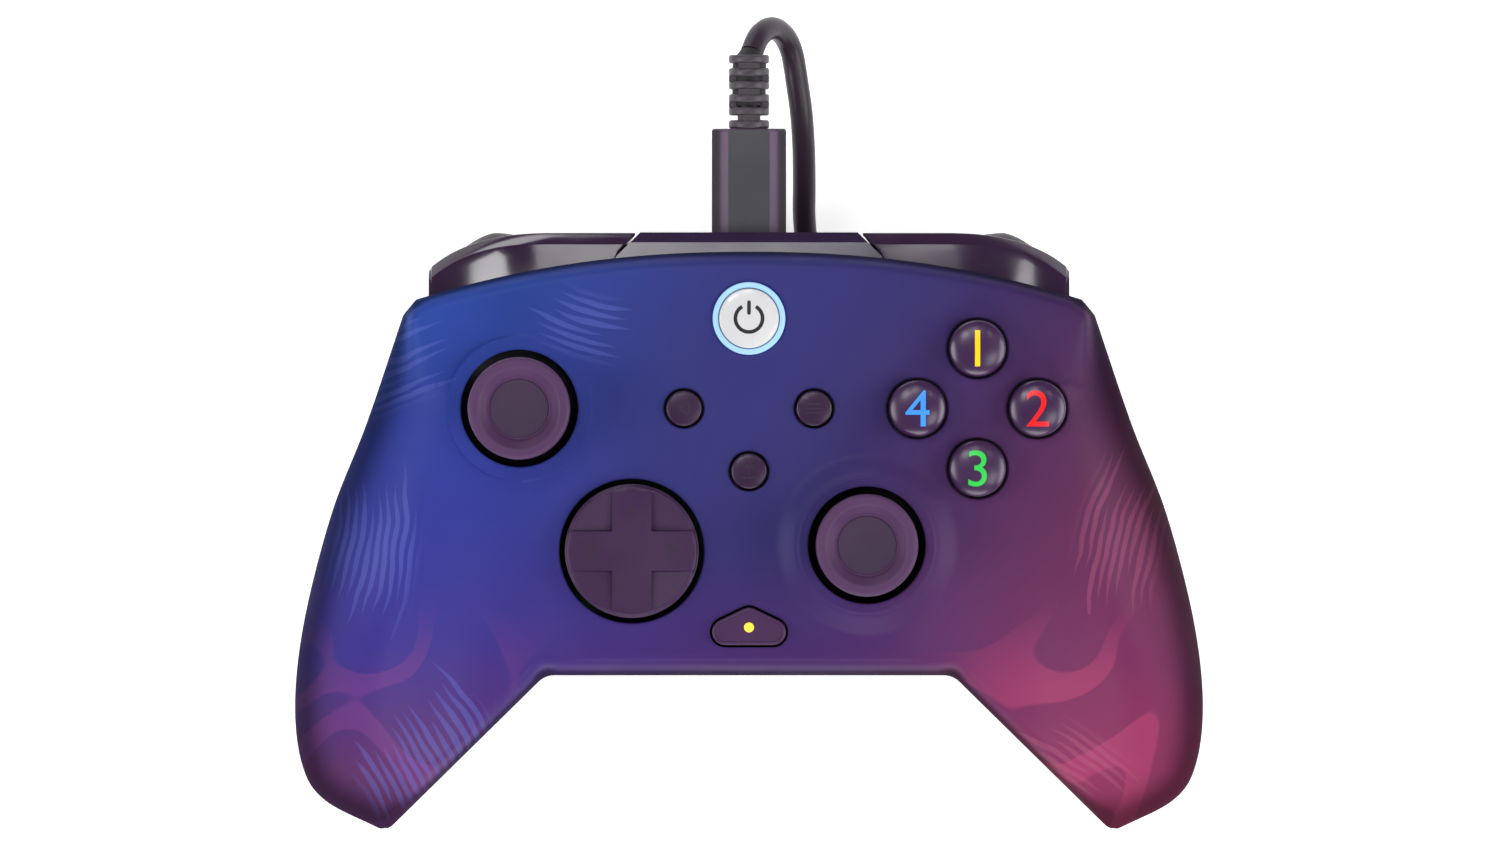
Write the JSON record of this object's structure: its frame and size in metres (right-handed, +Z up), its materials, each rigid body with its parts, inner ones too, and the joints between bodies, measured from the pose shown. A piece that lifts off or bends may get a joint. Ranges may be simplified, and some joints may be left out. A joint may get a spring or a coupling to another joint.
{
  "type": "gamepad controller",
  "caption": "Wired gamepad with thumb sticks, a rocking direction pad, face buttons, bumpers and sprung triggers, a two-part casing and a detachable cable.",
  "frame": {"origin": "on the table, under the middle of the pad without its cable", "axes": "+X to the player's right, +Y away from the player towards the plug, +Z up out of the faceplate"},
  "size_m": [0.1542, 0.1378, 0.057],
  "materials": {
    "faceplate": "satin, blue to magenta fade",
    "casing": "fine satin",
    "bridge": "gloss",
    "bumper": "gloss",
    "trigger": "satin",
    "steel": "plain",
    "bracket": "moulded",
    "board": "solder mask",
    "chip": "moulded",
    "switch": "moulded",
    "jack": "moulded",
    "lever": "moulded",
    "dpad": "satin",
    "membrane": "silicone",
    "button_yellow": "clear gloss over dark",
    "button_red": "clear gloss over dark",
    "button_green": "clear gloss over dark",
    "button_blue": "clear gloss over dark",
    "small_button": "satin",
    "light_ring": "translucent",
    "guide_white": "translucent",
    "amber_lens": "translucent",
    "weight": "sintered",
    "back_button": "satin",
    "plug": "satin",
    "cord": "satin",
    "tie": "hook and loop",
    "stick_module": "plated",
    "stick_cap": "satin"
  },
  "bodies": {
    "casing": {"front_shell": "faceplate", "rear_shell": "casing", "top_bridge": "bridge", "trigger_pins": "steel", "left_trigger_bracket": "bracket", "right_trigger_bracket": "bracket", "left_trigger_spring": "steel", "right_trigger_spring": "steel", "main_board": "board", "board_chips": "chip", "tact_switches": "switch", "usb_port": "steel", "audio_jack": "jack", "left_stick_module": "stick_module", "right_stick_module": "stick_module", "dpad_base": "bracket", "face_membrane": "membrane", "guide_ring": "light_ring", "left_motor": "steel", "right_motor": "steel", "case_screws": "steel"},
    "left_bumper": {"left_bumper": "bumper"},
    "right_bumper": {"right_bumper": "bumper"},
    "left_trigger": {"left_trigger": "trigger"},
    "right_trigger": {"right_trigger": "trigger"},
    "left_stick_yoke": {"left_stick_yoke": "steel"},
    "left_stick_pivot": {"left_stick_pivot": "lever"},
    "left_stick": {"left_stick_shaft": "lever", "left_stick_cap": "stick_cap"},
    "right_stick_yoke": {"right_stick_yoke": "steel"},
    "right_stick_pivot": {"right_stick_pivot": "lever"},
    "right_stick": {"right_stick_shaft": "lever", "right_stick_cap": "stick_cap"},
    "dpad_rocker": {"dpad_rocker": "lever"},
    "dpad": {"dpad": "dpad"},
    "face_button_top": {"face_button_top": "button_yellow"},
    "face_button_right": {"face_button_right": "button_red"},
    "face_button_bottom": {"face_button_bottom": "button_green"},
    "face_button_left": {"face_button_left": "button_blue"},
    "view_button": {"view_button": "small_button"},
    "menu_button": {"menu_button": "small_button"},
    "share_button": {"share_button": "small_button"},
    "guide_button": {"guide_button": "guide_white"},
    "function_button": {"function_button": "small_button", "function_lens": "amber_lens"},
    "left_motor_weight": {"left_motor_weight": "weight"},
    "left_back_button": {"left_back_button": "back_button"},
    "right_motor_weight": {"right_motor_weight": "weight"},
    "right_back_button": {"right_back_button": "back_button"},
    "cable": {"usb_plug_body": "plug", "usb_plug_tongue": "steel", "plug_relief": "cord", "cable_lead": "cord", "cable_coil": "cord", "cable_tie": "tie", "cable_tail": "cord", "host_plug_relief": "cord", "host_plug_body": "plug", "host_plug_shell": "steel"}
  },
  "joints": [
    {"name": "left_bumper_press", "type": "hinge", "parent": "casing", "child": "left_bumper", "pos_m": [-0.0272, 0.0418, 0.03], "axis": [0, 0, 1], "range_deg": [0, 2.5], "stiffness_Nm_per_rad": 0.6, "springref_deg": -2.86},
    {"name": "right_bumper_press", "type": "hinge", "parent": "casing", "child": "right_bumper", "pos_m": [0.0272, 0.0418, 0.03], "axis": [0, 0, 1], "range_deg": [-2.5, 0], "stiffness_Nm_per_rad": 0.6, "springref_deg": 2.86},
    {"name": "left_trigger_pull", "type": "hinge", "parent": "casing", "child": "left_trigger", "pos_m": [-0.043, 0.0345, 0.0239], "axis": [1, 0, 0], "range_deg": [-16, 0], "stiffness_Nm_per_rad": 0.1, "springref_deg": 20.05},
    {"name": "right_trigger_pull", "type": "hinge", "parent": "casing", "child": "right_trigger", "pos_m": [0.043, 0.0345, 0.0239], "axis": [1, 0, 0], "range_deg": [-16, 0], "stiffness_Nm_per_rad": 0.1, "springref_deg": 20.05},
    {"name": "left_stick_forward", "type": "hinge", "parent": "casing", "child": "left_stick_yoke", "pos_m": [-0.0388, 0.0209, 0.0333], "axis": [1, 0, 0], "range_deg": [-16, 16], "stiffness_Nm_per_rad": 0.05},
    {"name": "left_stick_sideways", "type": "hinge", "parent": "left_stick_yoke", "child": "left_stick_pivot", "pos_m": [-0.0388, 0.0209, 0.0333], "axis": [0, 1, 0], "range_deg": [-16, 16], "stiffness_Nm_per_rad": 0.05},
    {"name": "left_stick_click", "type": "slide", "parent": "left_stick_pivot", "child": "left_stick", "axis": [0, 0, 1], "range_m": [-0.0008, 0], "stiffness_N_per_m": 1500, "springref_m": 0.001},
    {"name": "right_stick_forward", "type": "hinge", "parent": "casing", "child": "right_stick_yoke", "pos_m": [0.0199, -0.0022, 0.0333], "axis": [1, 0, 0], "range_deg": [-16, 16], "stiffness_Nm_per_rad": 0.05},
    {"name": "right_stick_sideways", "type": "hinge", "parent": "right_stick_yoke", "child": "right_stick_pivot", "pos_m": [0.0199, -0.0022, 0.0333], "axis": [0, 1, 0], "range_deg": [-16, 16], "stiffness_Nm_per_rad": 0.05},
    {"name": "right_stick_click", "type": "slide", "parent": "right_stick_pivot", "child": "right_stick", "axis": [0, 0, 1], "range_m": [-0.0008, 0], "stiffness_N_per_m": 1500, "springref_m": 0.001},
    {"name": "dpad_forward", "type": "hinge", "parent": "casing", "child": "dpad_rocker", "pos_m": [-0.0198, -0.0032, 0.039], "axis": [1, 0, 0], "range_deg": [-4, 4], "stiffness_Nm_per_rad": 0.15},
    {"name": "dpad_sideways", "type": "hinge", "parent": "dpad_rocker", "child": "dpad", "pos_m": [-0.0198, -0.0032, 0.039], "axis": [0, 1, 0], "range_deg": [-4, 4], "stiffness_Nm_per_rad": 0.15},
    {"name": "face_button_top_press", "type": "slide", "parent": "casing", "child": "face_button_top", "axis": [0, 0, 1], "range_m": [-0.0015, 0], "stiffness_N_per_m": 500, "springref_m": 0.001},
    {"name": "face_button_right_press", "type": "slide", "parent": "casing", "child": "face_button_right", "axis": [0, 0, 1], "range_m": [-0.0015, 0], "stiffness_N_per_m": 500, "springref_m": 0.001},
    {"name": "face_button_bottom_press", "type": "slide", "parent": "casing", "child": "face_button_bottom", "axis": [0, 0, 1], "range_m": [-0.0015, 0], "stiffness_N_per_m": 500, "springref_m": 0.001},
    {"name": "face_button_left_press", "type": "slide", "parent": "casing", "child": "face_button_left", "axis": [0, 0, 1], "range_m": [-0.0015, 0], "stiffness_N_per_m": 500, "springref_m": 0.001},
    {"name": "view_button_press", "type": "slide", "parent": "casing", "child": "view_button", "axis": [0, 0, 1], "range_m": [-0.0006, 0], "stiffness_N_per_m": 900, "springref_m": 0.001},
    {"name": "menu_button_press", "type": "slide", "parent": "casing", "child": "menu_button", "axis": [0, 0, 1], "range_m": [-0.0006, 0], "stiffness_N_per_m": 900, "springref_m": 0.001},
    {"name": "share_button_press", "type": "slide", "parent": "casing", "child": "share_button", "axis": [0, 0, 1], "range_m": [-0.0006, 0], "stiffness_N_per_m": 900, "springref_m": 0.001},
    {"name": "guide_button_press", "type": "slide", "parent": "casing", "child": "guide_button", "axis": [0, 0, 1], "range_m": [-0.0006, 0], "stiffness_N_per_m": 900, "springref_m": 0.001},
    {"name": "function_button_press", "type": "slide", "parent": "casing", "child": "function_button", "axis": [0, 0, 1], "range_m": [-0.0006, 0], "stiffness_N_per_m": 900, "springref_m": 0.001},
    {"name": "left_motor_spin", "type": "hinge", "parent": "casing", "child": "left_motor_weight", "pos_m": [-0.06, -0.016, 0.016], "axis": [0, 1, 0], "continuous": true},
    {"name": "left_back_button_press", "type": "slide", "parent": "casing", "child": "left_back_button", "axis": [0, 0, 1], "range_m": [0, 0.0008], "stiffness_N_per_m": 900, "springref_m": -0.001},
    {"name": "right_motor_spin", "type": "hinge", "parent": "casing", "child": "right_motor_weight", "pos_m": [0.06, -0.016, 0.016], "axis": [0, 1, 0], "continuous": true},
    {"name": "right_back_button_press", "type": "slide", "parent": "casing", "child": "right_back_button", "axis": [0, 0, 1], "range_m": [0, 0.0008], "stiffness_N_per_m": 900, "springref_m": -0.001},
    {"name": "cable_unplug", "type": "slide", "parent": "casing", "child": "cable", "axis": [0, 1, 0], "range_m": [0, 0.0065]}
  ]
}
